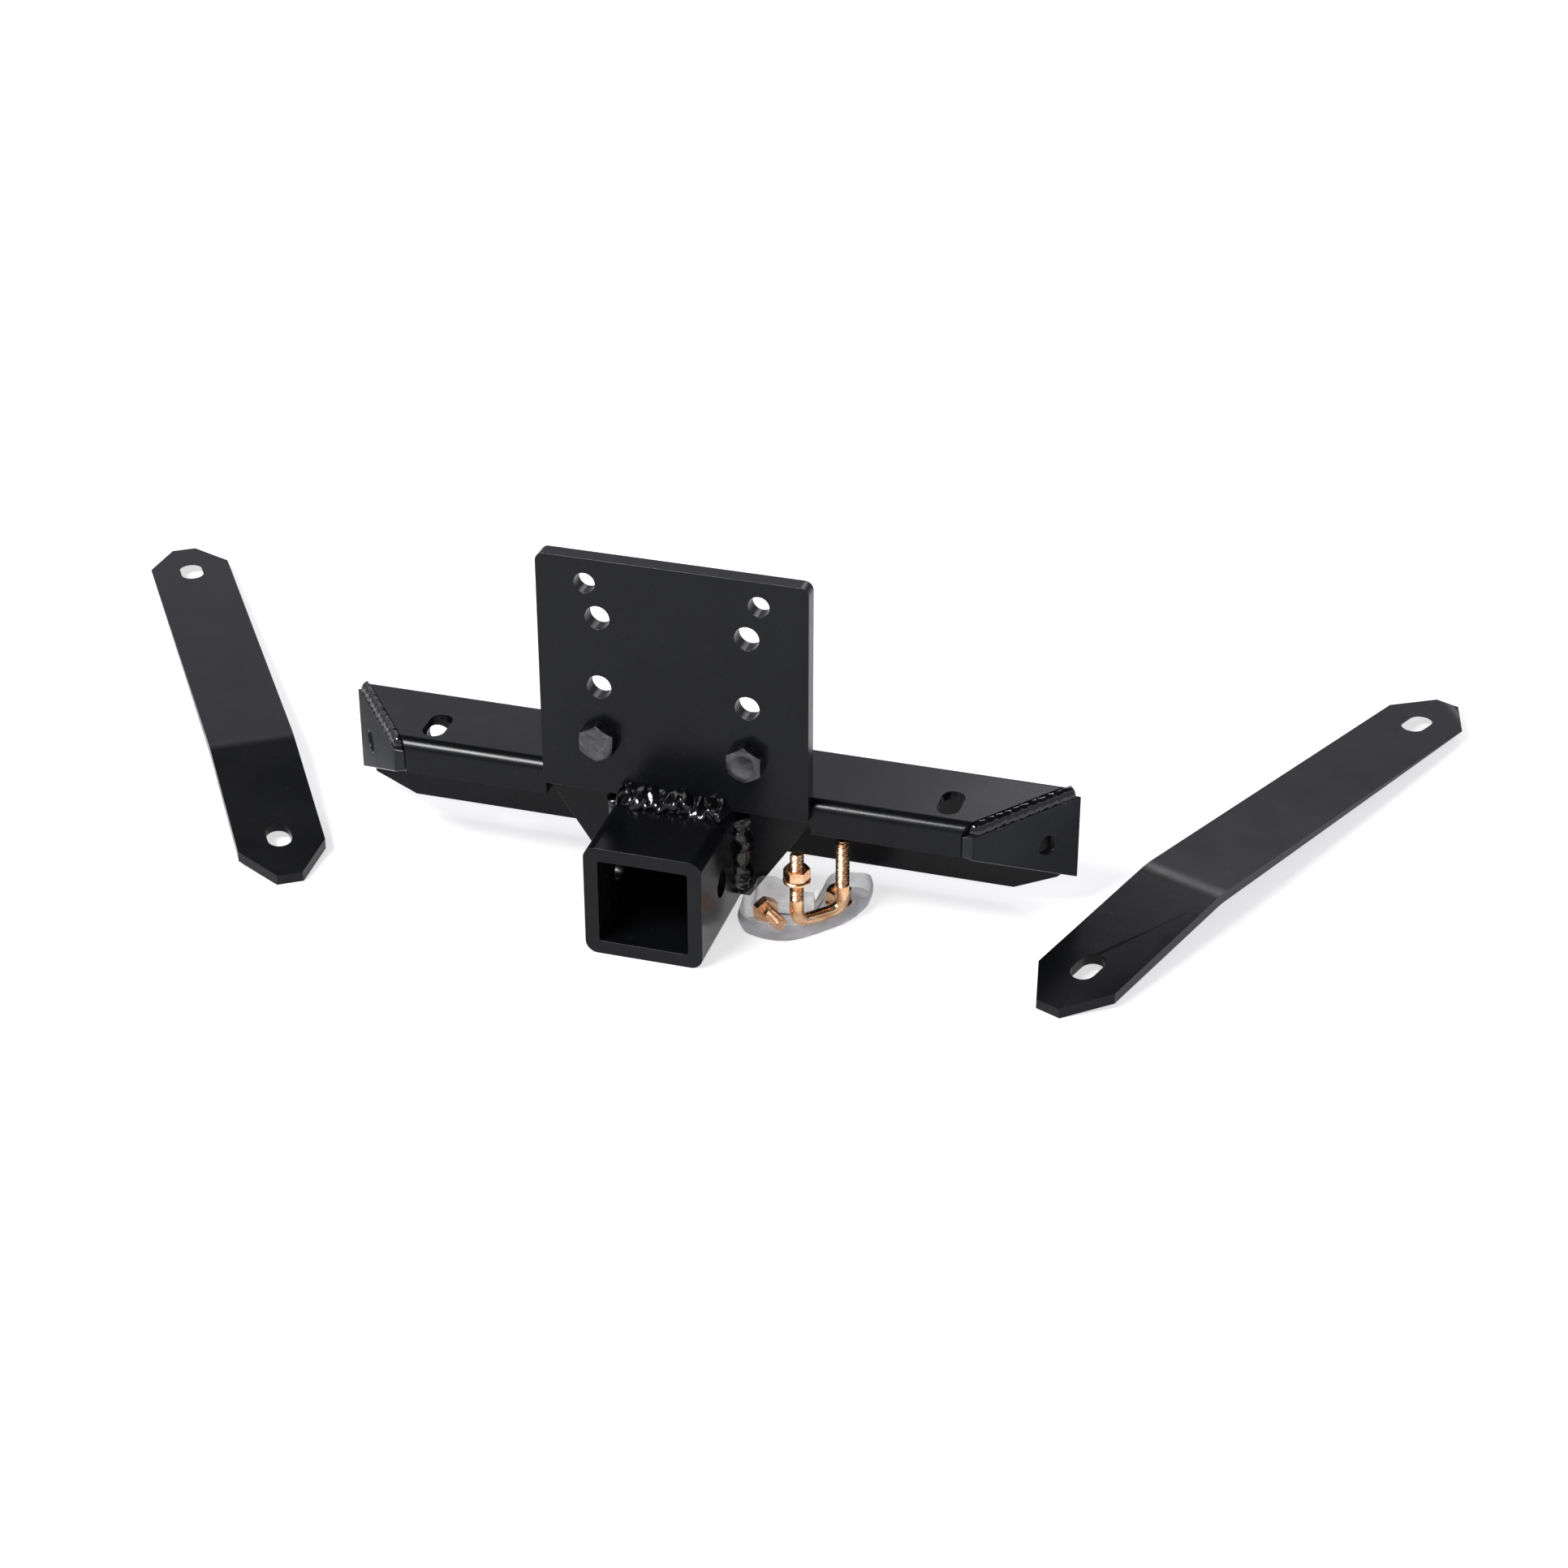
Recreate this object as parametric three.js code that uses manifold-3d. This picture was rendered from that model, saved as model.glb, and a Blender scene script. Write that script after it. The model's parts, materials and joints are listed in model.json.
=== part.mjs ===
// Bolt-on receiver hitch kit: hole plate, saddle bracket, square receiver and cross beam,
// with two loose side straps and a clear bag of zinc-plated hardware.
// Millimetres. +Z is up and z = 0 is the floor. +X runs along the beam. The receiver opens towards -Y.
// The origin is the middle of the receiver tube's underside.

import * as THREE from "three";
import { mergeVertices } from "three/addons/utils/BufferGeometryUtils.js";
import Module from "manifold-3d";

const wasm = await Module();
wasm.setup();

// ---- Driving dimensions -------------------------------------------------------------------------

const GAP = 0.3; // clearance between touching pieces

// Receiver: square tube with a 2 inch bore
const BORE = 50.8;
const TUBE = 67;
const TUBE_CORNER = 7;
const TUBE_FRONT = -57;
const TUBE_REAR = 36;
const BORE_CORNER = 1.5;
const PIN_HOLE = 16; // hitch pin, across the tube
const PIN_SETBACK = 36; // pin axis behind the tube's front face

// Hitch plate: the upright plate with the vehicle's hole pattern, front face at y = 0
const PLATE = 9.5; // thickness of both plates
const HITCH_WIDTH = 152.4;
const HITCH_BOTTOM = TUBE + GAP; // it rests on the tube
const HITCH_TOP = 210;
const HITCH_CORNER = 5;
const UPPER_HOLES = [
  { x: 48.6, z: 195.3, diameter: 12 },
  { x: 41.9, z: 175.3, diameter: 14 },
  { x: 41.9, z: 133, diameter: 14 },
];
const BOLT_X = 41.9;
const BOLT_Z = 101.6;
const BOLT_HOLE = 13.6;

// Saddle bracket: the tapered plate behind it, which straddles the tube
const BRACKET_FRONT = PLATE + GAP;
const BRACKET_REAR = BRACKET_FRONT + PLATE;
const BRACKET_HALF = 73;
const BRACKET_TOP = 118;
const BRACKET_TAPER_TOP = 58;
const BRACKET_FOOT_HALF = 40;
const BRACKET_FOOT = 8;
const BRACKET_CROP = 6;

// Cross beam: folded channel, open downwards, with a short front lip and a deep rear web
const SHEET = 5;
const BEAM_FRONT = 5;
const BEAM_REAR = 65;
const BEAM_TOP = 77;
const LIP_BOTTOM = 57;
const WEB_BOTTOM = 8.2;
const FRONT_FOLD = 7; // outer fold radii
const REAR_FOLD = 5.5;
const FRONT_HALF = 167; // half length along the front edge, over the end plates
const REAR_HALF = 213.5; // half length along the rear edge, over the end plates
const WEB_CUT = { x: 35, z: 16 }; // cropped lower corners of the web
const WEB_HOLE = { x: 162, z: 49, diameter: 16 };
const FLANGE_SLOT = { x: 149, y: 27, width: 13, length: 25 };

// End plates: upright plates on the mitred beam ends
const END_PLATE = 5;
const END_TOP = 70.4;
const END_BOTTOM = { front: 56, rear: 18 }; // its lower edge slopes from the lip down to the web's foot
const END_HOLE = { along: 53, z: 47, diameter: 12 };

// Weld beads
const TOP_BEAD = { forward: 14, up: 9 };
const SIDE_BEAD = 8.5;
const FLANGE_BEAD = 5;
const END_BEAD_INSET = { front: 3, rear: 1 }; // from the mitre's ends
const BEAD_SIDES = 5; // flats round a quarter-round bead

// Half-inch bolts that hold the hitch plate on the bracket
const BOLT = 12.7;
const BOLT_FLATS = 19;
const BOLT_HEAD = 8;
const BOLT_TIP = 44;
const WASHER = { diameter: 27, thickness: 2.6 };
const NUT_HEIGHT = 11;

// Side straps
const STRAP_WIDTH = 50;
const STRAP = 6.35;
const STRAP_LENGTH = 420;
const STRAP_BEND_AT = 290; // from the far end, along the strap
const STRAP_BEND = THREE.MathUtils.degToRad(10);
const STRAP_BEND_RADIUS = 60;
const STRAP_CROP = { along: 26, across: 18 };
const STRAP_SLOT = { inset: 36.6, width: 14, length: 23 };
const STRAPS = [
  { name: "strap_left", x: -444, y: 312, heading: THREE.MathUtils.degToRad(-57) },
  { name: "strap_right", x: 383.5, y: 342, heading: THREE.MathUtils.degToRad(-112.7) },
];

// Hardware bag and its contents
const FILM = 0.9;
const BAG_HEIGHT = 54;
const SMALL = { wire: 7.9, flats: 13, head: 5.4, length: 16, nut: 6.6, washer: 15.4, washerThickness: 1.7 };
const U_BOLT = { x: 81.4, y: 5.6, heading: THREE.MathUtils.degToRad(46), span: 29, height: 50, nut: 33 };
const U_BOLT_CORNER = 9;
const SPARE_BOLT = { x: 54, y: -2.5, heading: THREE.MathUtils.degToRad(-46) };
const SPARE_NUT = { x: 86.2, y: 28 };

// ---- Materials ----------------------------------------------------------------------------------

const blackPaint = new THREE.MeshStandardMaterial({ color: 0x17191d, roughness: 0.42, metalness: 0.1 });
const weldPaint = new THREE.MeshStandardMaterial({ color: 0x0e0f11, roughness: 0.25, metalness: 0.2 });
const boltBlack = new THREE.MeshStandardMaterial({ color: 0x2b2d30, roughness: 0.35, metalness: 0.7 });
const yellowZinc = new THREE.MeshStandardMaterial({ color: 0xc98a3e, roughness: 0.3, metalness: 0.9 });
const clearFilm = new THREE.MeshStandardMaterial({
  color: 0xe4e8ea, roughness: 0.15, metalness: 0, transparent: true, opacity: 0.35,
});

// ---- Geometry helpers ---------------------------------------------------------------------------

const part = new THREE.Group();

function solidOf(geometry) {
  const bare = geometry.clone();
  for (const name of Object.keys(bare.attributes)) if (name !== "position") bare.deleteAttribute(name);
  const merged = mergeVertices(bare, 1e-4);
  return new wasm.Manifold(new wasm.Mesh({
    numProp: 3,
    vertProperties: new Float32Array(merged.attributes.position.array),
    triVerts: new Uint32Array(merged.index.array),
  }));
}

function geometryOf(solid) {
  const mesh = solid.getMesh();
  const geometry = new THREE.BufferGeometry();
  geometry.setAttribute("position", new THREE.BufferAttribute(new Float32Array(mesh.vertProperties), 3));
  geometry.setIndex(new THREE.BufferAttribute(new Uint32Array(mesh.triVerts), 1));
  return geometry;
}

function cut(base, ...tools) {
  return geometryOf(tools.reduce((solid, tool) => solid.subtract(solidOf(tool)), solidOf(base)));
}

function common(first, second) {
  return geometryOf(solidOf(first).intersect(solidOf(second)));
}

function addMesh(name, geometry, material, parent = part) {
  const mesh = new THREE.Mesh(geometry, material);
  mesh.name = name;
  parent.add(mesh);
  return mesh;
}

function polygon(points) {
  return new THREE.Shape(points.map(([a, b]) => new THREE.Vector2(a, b)));
}

function extrude(shape, depth, segments = 5) {
  return new THREE.ExtrudeGeometry(shape, { depth, bevelEnabled: false, curveSegments: segments });
}

// A shape drawn in x and z becomes a prism from y = near to y = far.
function prismY(shape, near, far, segments) {
  return extrude(shape, far - near, segments).rotateX(Math.PI / 2).translate(0, far, 0);
}

// A shape drawn in y and z becomes a prism from x = low to x = high.
function prismX(shape, low, high, segments) {
  const turn = new THREE.Matrix4().set(0, 0, 1, low, 1, 0, 0, 0, 0, 1, 0, 0, 0, 0, 0, 1);
  return extrude(shape, high - low, segments).applyMatrix4(turn);
}

// The same piece on the other side of the x = 0 plane, with its faces still outwards
function mirrored(geometry) {
  const flipped = geometry.clone();
  const count = flipped.attributes.position.count;
  const index = flipped.index ? [...flipped.index.array] : Array.from({ length: count }, (_, i) => i);
  const turned = index.map((_, i) => index[i - (i % 3) + [0, 2, 1][i % 3]]);
  flipped.setIndex(turned);
  flipped.scale(-1, 1, 1);
  return flipped;
}

function roundedSquare(side, radius) {
  const h = side / 2;
  const shape = new THREE.Shape();
  shape.moveTo(-h + radius, -h);
  shape.lineTo(h - radius, -h);
  shape.absarc(h - radius, -h + radius, radius, -Math.PI / 2, 0);
  shape.lineTo(h, h - radius);
  shape.absarc(h - radius, h - radius, radius, 0, Math.PI / 2);
  shape.lineTo(-h + radius, h);
  shape.absarc(-h + radius, h - radius, radius, Math.PI / 2, Math.PI);
  shape.lineTo(-h, -h + radius);
  shape.absarc(-h + radius, -h + radius, radius, Math.PI, 1.5 * Math.PI);
  return shape;
}

// A slot outline with round ends, its length along the second axis
function slotShape(width, length) {
  const r = width / 2;
  const reach = length / 2 - r;
  const shape = new THREE.Shape();
  shape.moveTo(r, -reach);
  shape.lineTo(r, reach);
  shape.absarc(0, reach, r, 0, Math.PI);
  shape.lineTo(-r, -reach);
  shape.absarc(0, -reach, r, Math.PI, 2 * Math.PI);
  return shape;
}

function cylinderY(diameter, near, far, x, z, sides = 24) {
  return new THREE.CylinderGeometry(diameter / 2, diameter / 2, far - near, sides)
    .translate(0, (near + far) / 2, 0)
    .translate(x, 0, z);
}

function hexagon(flats, chamfer, height) {
  const corner = flats / Math.sqrt(3);
  const prism = new THREE.CylinderGeometry(corner, corner, height, 6);
  const turned = new THREE.LatheGeometry([
    new THREE.Vector2(0, -height / 2),
    new THREE.Vector2(corner, -height / 2),
    new THREE.Vector2(corner, height / 2 - chamfer),
    new THREE.Vector2(corner - chamfer * 1.8, height / 2),
    new THREE.Vector2(0, height / 2),
  ], 24);
  return common(prism, turned);
}

// A hex bolt along +Y: the head's outer face is at y = -head, the shank runs from 0 to length.
function hexBolt({ wire, flats, head, length }) {
  const headSolid = solidOf(hexagon(flats, head * 0.2, head).rotateX(Math.PI).translate(0, -head / 2, 0));
  const shank = new THREE.LatheGeometry([
    new THREE.Vector2(0, -head / 2),
    new THREE.Vector2(wire / 2, -head / 2),
    new THREE.Vector2(wire / 2, length - 1),
    new THREE.Vector2(wire / 2 - 1, length),
    new THREE.Vector2(0, length),
  ], 20);
  return geometryOf(headSolid.add(solidOf(shank)));
}

function ring(outer, inner, thickness, sides = 24) {
  return new THREE.LatheGeometry([
    new THREE.Vector2(inner / 2, -thickness / 2),
    new THREE.Vector2(outer / 2, -thickness / 2),
    new THREE.Vector2(outer / 2, thickness / 2),
    new THREE.Vector2(inner / 2, thickness / 2),
    new THREE.Vector2(inner / 2, -thickness / 2),
  ], sides);
}

function hexNut(flats, bore, height) {
  const hole = new THREE.CylinderGeometry(bore / 2, bore / 2, height * 2, 20);
  return cut(hexagon(flats, height * 0.12, height), hole);
}

// ---- Receiver -----------------------------------------------------------------------------------

function receiverTube() {
  const middle = TUBE / 2;
  const section = roundedSquare(TUBE, TUBE_CORNER);
  section.holes.push(roundedSquare(BORE, BORE_CORNER));
  const tube = prismY(section, TUBE_FRONT, TUBE_REAR).translate(0, 0, middle);
  const pin = new THREE.CylinderGeometry(PIN_HOLE / 2, PIN_HOLE / 2, TUBE * 1.5, 24)
    .rotateZ(Math.PI / 2)
    .translate(0, TUBE_FRONT + PIN_SETBACK, middle);
  return cut(tube, pin);
}

// A quarter-round outline in the corner at (0, 0), wide along the first axis and high along the second
function quarterRound(wide, high) {
  const turns = Array.from({ length: BEAD_SIDES + 1 }, (_, i) => (i / BEAD_SIDES) * (Math.PI / 2));
  return [[0, 0], ...turns.map((turn) => [wide * Math.cos(turn), high * Math.sin(turn)])];
}

// The bead over the tube's top, in the corner with the hitch plate's front face
function topBead() {
  const half = TUBE / 2 - 1;
  const section = quarterRound(TOP_BEAD.forward, TOP_BEAD.up).map(([y, z]) => [-GAP - y, TUBE + GAP + z]);
  return prismX(polygon(section), -half, half);
}

// The bead down the tube's right side, in the corner with the bracket's front face
function sideBead() {
  const section = quarterRound(SIDE_BEAD, SIDE_BEAD)
    .map(([x, y]) => [TUBE / 2 + GAP + x, BRACKET_FRONT - GAP - y]);
  const low = BRACKET_FOOT + SIDE_BEAD / 2;
  const high = HITCH_BOTTOM - SIDE_BEAD / 2;
  return extrude(polygon(section), high - low).translate(0, 0, low);
}

// ---- Plates -------------------------------------------------------------------------------------

function hitchPlate() {
  const h = HITCH_WIDTH / 2;
  const c = HITCH_CORNER;
  const outline = new THREE.Shape();
  outline.moveTo(-h, HITCH_BOTTOM);
  outline.lineTo(h, HITCH_BOTTOM);
  outline.absarc(h - c, HITCH_TOP - c, c, 0, Math.PI / 2);
  outline.absarc(-h + c, HITCH_TOP - c, c, Math.PI / 2, Math.PI);
  const holes = [...UPPER_HOLES, { x: BOLT_X, z: BOLT_Z, diameter: BOLT_HOLE }];
  const tools = holes.flatMap(({ x, z, diameter }) =>
    [-x, x].map((place) => cylinderY(diameter, -PLATE, 2 * PLATE, place, z)));
  return cut(prismY(outline, 0, PLATE), ...tools);
}

function bracketPlate() {
  const notch = TUBE / 2 + GAP;
  const right = [
    [notch, TUBE + GAP], [notch, BRACKET_FOOT], [BRACKET_FOOT_HALF, BRACKET_FOOT],
    [BRACKET_HALF, BRACKET_TAPER_TOP], [BRACKET_HALF, BRACKET_TOP - BRACKET_CROP],
    [BRACKET_HALF - BRACKET_CROP, BRACKET_TOP],
  ];
  const left = right.map(([x, z]) => [-x, z]).reverse();
  const plate = prismY(polygon([...right, ...left]), BRACKET_FRONT, BRACKET_REAR);
  const holes = [-BOLT_X, BOLT_X].map((x) => cylinderY(BOLT_HOLE, 0, BRACKET_REAR + PLATE, x, BOLT_Z));
  return cut(plate, ...holes);
}

// ---- Cross beam ---------------------------------------------------------------------------------

const mitre = new THREE.Vector2(REAR_HALF - FRONT_HALF, BEAM_REAR - BEAM_FRONT);
const MITRE_LENGTH = mitre.length();
mitre.normalize();

// A point of the right-hand mitre: a distance along it from the front, and inwards from its outer face
function mitrePoint(along, inwards) {
  return [
    FRONT_HALF + mitre.x * along - mitre.y * inwards,
    BEAM_FRONT + mitre.y * along + mitre.x * inwards,
  ];
}

// A shape drawn along the mitre and up becomes a plate of this thickness behind the mitre's outer face.
function plateOnMitre(shape, thickness, segments) {
  const stand = new THREE.Matrix4().set(
    mitre.x, 0, mitre.y, FRONT_HALF,
    mitre.y, 0, -mitre.x, BEAM_FRONT,
    0, 1, 0, 0,
    0, 0, 0, 1,
  );
  return extrude(shape, thickness, segments).translate(0, 0, -thickness).applyMatrix4(stand);
}

// A shape drawn inwards and up becomes a bar along the mitre.
function barOnMitre(shape, start, end) {
  const lay = new THREE.Matrix4().set(
    -mitre.y, 0, mitre.x, FRONT_HALF,
    mitre.x, 0, mitre.y, BEAM_FRONT,
    0, 1, 0, 0,
    0, 0, 0, 1,
  );
  return extrude(shape, end - start).translate(0, 0, start).applyMatrix4(lay);
}

function beamSection() {
  const front = BEAM_FRONT + FRONT_FOLD;
  const rear = BEAM_REAR - REAR_FOLD;
  const shape = new THREE.Shape();
  shape.moveTo(BEAM_FRONT, LIP_BOTTOM);
  shape.lineTo(BEAM_FRONT + SHEET, LIP_BOTTOM);
  shape.absarc(front, BEAM_TOP - FRONT_FOLD, FRONT_FOLD - SHEET, Math.PI, Math.PI / 2, true);
  shape.absarc(rear, BEAM_TOP - REAR_FOLD, REAR_FOLD - SHEET, Math.PI / 2, 0, true);
  shape.lineTo(BEAM_REAR - SHEET, WEB_BOTTOM);
  shape.lineTo(BEAM_REAR, WEB_BOTTOM);
  shape.absarc(rear, BEAM_TOP - REAR_FOLD, REAR_FOLD, 0, Math.PI / 2);
  shape.absarc(front, BEAM_TOP - FRONT_FOLD, FRONT_FOLD, Math.PI / 2, Math.PI);
  return shape;
}

// The plan of the beam between its mitres, drawn this far inside the end plates' outer faces
function beamPlan(inset) {
  const over = 20;
  const front = mitrePoint(-over, inset);
  const rear = mitrePoint(MITRE_LENGTH + over, inset);
  return polygon([front, rear, [-rear[0], rear[1]], [-front[0], front[1]]]);
}

function crossBeam() {
  const reach = REAR_HALF + 50;
  const channel = prismX(beamSection(), -reach, reach);
  const trimmed = common(channel, extrude(beamPlan(END_PLATE + GAP), 2 * BEAM_TOP));
  // The hitch plate and the saddle bracket pass through the beam's front.
  const notches = [[HITCH_WIDTH / 2, BRACKET_FRONT], [BRACKET_HALF, BRACKET_REAR + GAP]].map(([half, rear]) =>
    new THREE.BoxGeometry(2 * (half + GAP), 40, 4 * BEAM_TOP).translate(0, rear - 20, 0));
  const sides = [-1, 1];
  const slots = sides.map((side) => extrude(slotShape(FLANGE_SLOT.width, FLANGE_SLOT.length), 40)
    .translate(side * FLANGE_SLOT.x, FLANGE_SLOT.y, BEAM_TOP - 20));
  const holes = sides.map((side) => cylinderY(WEB_HOLE.diameter, BEAM_REAR - 3 * SHEET, BEAM_REAR + SHEET,
    side * WEB_HOLE.x, WEB_HOLE.z));
  const corners = sides.map((side) => {
    const beyond = 30;
    const low = WEB_BOTTOM - 0.01;
    const end = side * (REAR_HALF + beyond);
    const high = WEB_BOTTOM + WEB_CUT.z * (1 + beyond / WEB_CUT.x);
    const shape = polygon([[side * (REAR_HALF - WEB_CUT.x), low], [end, low], [end, high]]);
    return prismY(shape, BEAM_REAR - 3 * SHEET, BEAM_REAR + SHEET);
  });
  return cut(trimmed, ...notches, ...slots, ...holes, ...corners);
}

// An end plate's front and rear edges are flush with the beam's lip and web.
function endPlate() {
  const over = 8;
  const slope = (END_BOTTOM.front - END_BOTTOM.rear) / MITRE_LENGTH;
  const shape = polygon([
    [-over, END_BOTTOM.front + slope * over], [MITRE_LENGTH + over, END_BOTTOM.rear - slope * over],
    [MITRE_LENGTH + over, END_TOP], [-over, END_TOP],
  ]);
  const hole = new THREE.Path();
  hole.absarc(END_HOLE.along, END_HOLE.z, END_HOLE.diameter / 2, 0, 2 * Math.PI);
  shape.holes.push(hole);
  const depth = BEAM_REAR - BEAM_FRONT;
  const between = new THREE.BoxGeometry(4 * REAR_HALF, depth, 4 * BEAM_TOP)
    .translate(0, BEAM_FRONT + depth / 2, 0);
  return common(plateOnMitre(shape, END_PLATE, 8), between);
}

// The bead on top of the end plate, flush with the flange and with the plate's outer face
function endBead() {
  const low = END_TOP + GAP;
  const section = quarterRound(END_PLATE, BEAM_TOP - low).map(([out, up]) => [END_PLATE - out, low + up]);
  return barOnMitre(polygon(section), END_BEAD_INSET.front, MITRE_LENGTH - END_BEAD_INSET.rear);
}

// The bead on the flange behind the saddle bracket
function flangeBead() {
  const half = BRACKET_HALF - 6;
  const section = quarterRound(FLANGE_BEAD, FLANGE_BEAD)
    .map(([y, z]) => [BRACKET_REAR + GAP + y, BEAM_TOP + GAP + z]);
  return prismX(polygon(section), -half, half);
}

// ---- Straps -------------------------------------------------------------------------------------

// The strap stands on its two end edges, with the bend raised. Drawn along +X from its far end.
function strapGeometry() {
  const near = STRAP_LENGTH - STRAP_BEND_AT;
  const rise = Math.atan2(near * Math.sin(STRAP_BEND), STRAP_BEND_AT + near * Math.cos(STRAP_BEND));
  const fall = STRAP_BEND - rise;
  const ridge = { x: STRAP_BEND_AT * Math.cos(rise), z: STRAP_BEND_AT * Math.sin(rise) };
  const reach = STRAP_BEND_RADIUS * Math.tan(STRAP_BEND / 2);
  const centre = {
    x: ridge.x - reach * Math.cos(rise) + STRAP_BEND_RADIUS * Math.sin(rise),
    z: ridge.z - reach * Math.sin(rise) - STRAP_BEND_RADIUS * Math.cos(rise),
  };
  const endX = ridge.x + near * Math.cos(fall);
  const side = new THREE.Shape();
  const outer = STRAP_BEND_RADIUS + STRAP;
  side.moveTo(0, 0);
  side.absarc(centre.x, centre.z, STRAP_BEND_RADIUS, Math.PI / 2 + rise, Math.PI / 2 - fall, true);
  side.lineTo(endX, 0);
  side.lineTo(endX + STRAP * Math.sin(fall), STRAP * Math.cos(fall));
  side.absarc(centre.x, centre.z, outer, Math.PI / 2 - fall, Math.PI / 2 + rise);
  side.lineTo(-STRAP * Math.sin(rise), STRAP * Math.cos(rise));
  const bar = prismY(side, -STRAP_WIDTH, STRAP_WIDTH, 4);
  const h = STRAP_WIDTH / 2;
  const { along, across } = STRAP_CROP;
  const plan = polygon([
    [-1, -h + across], [along, -h], [endX - along, -h], [endX + 1, -h + across],
    [endX + 1, h - across], [endX - along, h], [along, h], [-1, h - across],
  ]);
  const through = 100;
  const slots = [STRAP_SLOT.inset, endX - STRAP_SLOT.inset].map((x) =>
    extrude(slotShape(STRAP_SLOT.width, STRAP_SLOT.length), through, 6).rotateZ(Math.PI / 2)
      .translate(x, 0, -through / 2));
  return cut(common(bar, extrude(plan, through).translate(0, 0, -1)), ...slots);
}

// ---- Hardware bag -------------------------------------------------------------------------------

// The bag stands to the right of the receiver, round the bracket's tapered edge and under the beam.
const BAG_OUTLINE = [
  [37.5, -12], [44, -19], [60, -22.5], [75, -18], [93, 0], [102, 16], [106, 36], [100, 50], [84, 50],
  [77, 40], [76.5, 8.5], [43, 8.5], [43, 0.4], [37.5, -1],
];

function bag() {
  const pouch = extrude(polygon(BAG_OUTLINE), BAG_HEIGHT);
  const hollow = extrude(polygon(offsetOutline(BAG_OUTLINE, FILM)), BAG_HEIGHT).translate(0, 0, FILM);
  return cut(pouch, hollow);
}

// Moves every edge of an anticlockwise outline inwards by the same distance.
function offsetOutline(points, distance) {
  const count = points.length;
  const inward = points.map(([x, y], i) => {
    const [nextX, nextY] = points[(i + 1) % count];
    const length = Math.hypot(nextX - x, nextY - y);
    return [-(nextY - y) / length, (nextX - x) / length];
  });
  return points.map(([x, y], i) => {
    const [ax, ay] = inward[(i + count - 1) % count];
    const [bx, by] = inward[i];
    const scale = distance / (1 + ax * bx + ay * by);
    return [x + (ax + bx) * scale, y + (ay + by) * scale];
  });
}

function uBolt() {
  const r = U_BOLT.span / 2;
  const bottom = FILM + GAP + SMALL.wire / 2;
  const corner = U_BOLT_CORNER;
  const path = new THREE.CurvePath();
  const at = (x, z) => new THREE.Vector3(x, 0, z);
  path.add(new THREE.LineCurve3(at(-r, U_BOLT.height), at(-r, bottom + corner)));
  path.add(new THREE.QuadraticBezierCurve3(at(-r, bottom + corner), at(-r, bottom), at(-r + corner, bottom)));
  path.add(new THREE.LineCurve3(at(-r + corner, bottom), at(r - corner, bottom)));
  path.add(new THREE.QuadraticBezierCurve3(at(r - corner, bottom), at(r, bottom), at(r, bottom + corner)));
  path.add(new THREE.LineCurve3(at(r, bottom + corner), at(r, U_BOLT.height)));
  const round = new THREE.Shape();
  round.absarc(0, 0, SMALL.wire / 2, 0, 2 * Math.PI);
  return new THREE.ExtrudeGeometry(round, { steps: 40, extrudePath: path, curveSegments: 6 });
}

// ---- Assembly -----------------------------------------------------------------------------------

addMesh("receiver_tube", receiverTube(), blackPaint);
addMesh("receiver_top_weld", topBead(), weldPaint);
addMesh("receiver_weld_right", sideBead(), weldPaint);
addMesh("receiver_weld_left", mirrored(sideBead()), weldPaint);
addMesh("hitch_plate", hitchPlate(), blackPaint);
addMesh("bracket_plate", bracketPlate(), blackPaint);
addMesh("cross_beam", crossBeam(), blackPaint);
addMesh("flange_weld", flangeBead(), weldPaint);
addMesh("end_plate_right", endPlate(), blackPaint);
addMesh("end_plate_left", mirrored(endPlate()), blackPaint);
addMesh("end_weld_right", endBead(), weldPaint);
addMesh("end_weld_left", mirrored(endBead()), weldPaint);

for (const [side, sign] of [["left", -1], ["right", 1]]) {
  const stack = new THREE.Group();
  stack.position.set(sign * BOLT_X, 0, BOLT_Z);
  part.add(stack);
  const washerY = BRACKET_REAR + GAP + WASHER.thickness / 2;
  const nutY = washerY + WASHER.thickness / 2 + GAP + NUT_HEIGHT / 2;
  const bolt = hexBolt({ wire: BOLT, flats: BOLT_FLATS, head: BOLT_HEAD, length: BOLT_TIP });
  addMesh(`plate_bolt_${side}`, bolt, boltBlack, stack).position.y = -GAP;
  addMesh(`plate_washer_${side}`, ring(WASHER.diameter, BOLT_HOLE, WASHER.thickness), boltBlack, stack)
    .position.y = washerY;
  addMesh(`plate_nut_${side}`, hexNut(BOLT_FLATS, BOLT + 2 * GAP, NUT_HEIGHT), boltBlack, stack)
    .position.y = nutY;
}

for (const { name, x, y, heading } of STRAPS) {
  const strap = addMesh(name, strapGeometry(), blackPaint);
  strap.position.set(x, y, 0);
  strap.rotation.z = heading;
}

addMesh("hardware_bag", bag(), clearFilm);

const bagFloor = FILM + GAP;
const smallBore = SMALL.wire + 2 * GAP;
const upright = (geometry) => geometry.rotateX(Math.PI / 2);
const smallWasher = () => upright(ring(SMALL.washer, smallBore, SMALL.washerThickness));
const smallNut = () => upright(hexNut(SMALL.flats, smallBore, SMALL.nut));
const nutAboveWasher = GAP + (SMALL.washerThickness + SMALL.nut) / 2;

const uGroup = new THREE.Group();
uGroup.position.set(U_BOLT.x, U_BOLT.y, 0);
uGroup.rotation.z = U_BOLT.heading;
part.add(uGroup);
addMesh("u_bolt", uBolt(), yellowZinc, uGroup);
addMesh("u_bolt_washer", smallWasher(), yellowZinc, uGroup).position.set(-U_BOLT.span / 2, 0, U_BOLT.nut);
addMesh("u_bolt_nut", smallNut(), yellowZinc, uGroup)
  .position.set(-U_BOLT.span / 2, 0, U_BOLT.nut + nutAboveWasher);

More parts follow.
